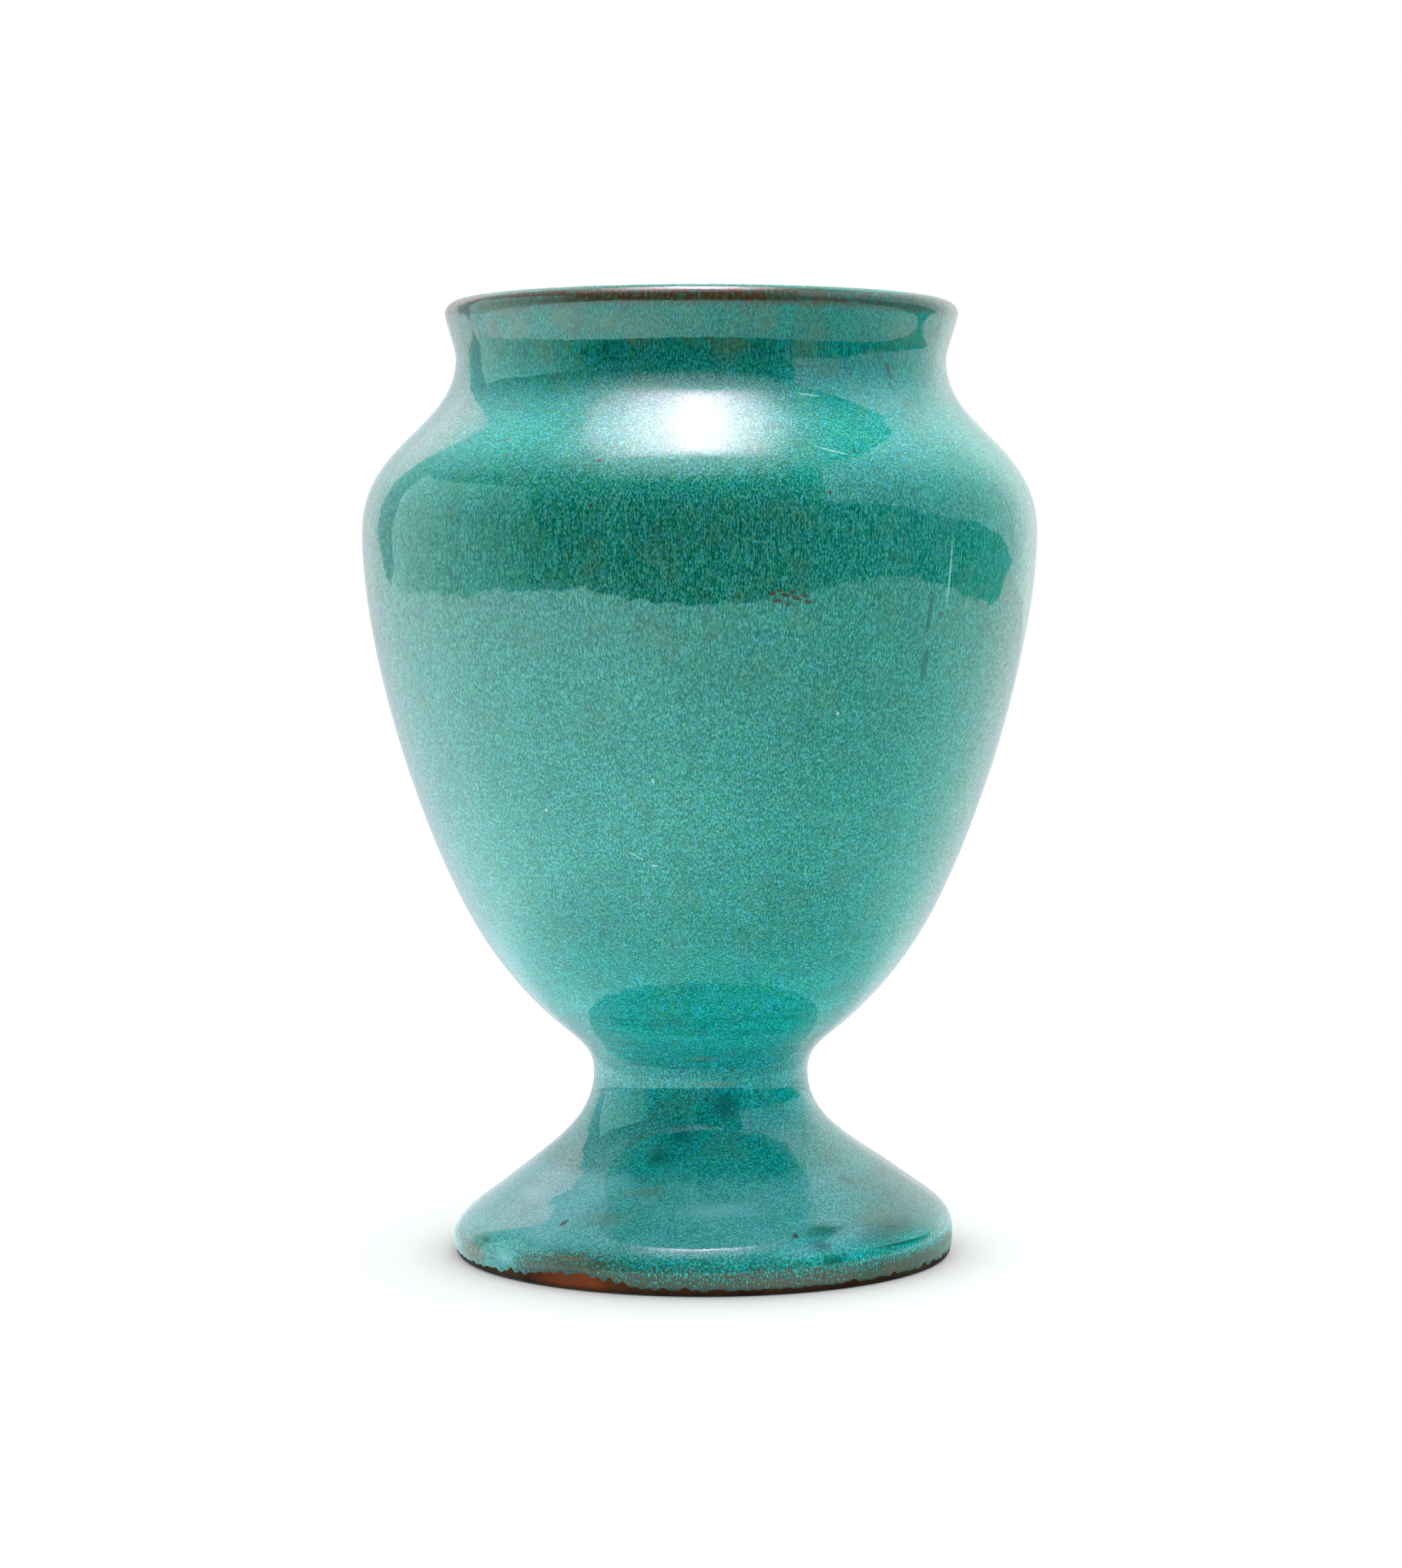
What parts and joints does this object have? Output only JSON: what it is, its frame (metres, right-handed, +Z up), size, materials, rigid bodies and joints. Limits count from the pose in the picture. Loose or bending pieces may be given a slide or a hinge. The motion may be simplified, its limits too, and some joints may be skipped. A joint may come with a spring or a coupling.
{
  "type": "pedestal vase",
  "caption": "Wheel-thrown pedestal vase with a high shoulder, short flared neck and rounded lip on a hollow flared foot, glazed outside and in.",
  "frame": {"origin": "on the surface that the vase stands on, at the middle of the standing ring", "axes": "+Z up along the axis of revolution, -Y towards the viewer, +X to the viewer's right"},
  "size_m": [0.1774, 0.1774, 0.25],
  "materials": {
    "clay": "bare red-brown fired clay, matt, faint throwing rings",
    "slip": "bare fired slip, smoothed by finger, matt",
    "outer_glaze": "glossy turquoise glaze with fine lighter runs, breaking brown at the lip and foot",
    "liner_glaze": "glossy turquoise glaze with fine mottling"
  },
  "bodies": {
    "root": {"bowl": "clay", "pedestal_foot": "clay", "luting_slip": "slip", "outer_glaze": "outer_glaze", "liner_glaze": "liner_glaze"}
  },
  "joints": []
}
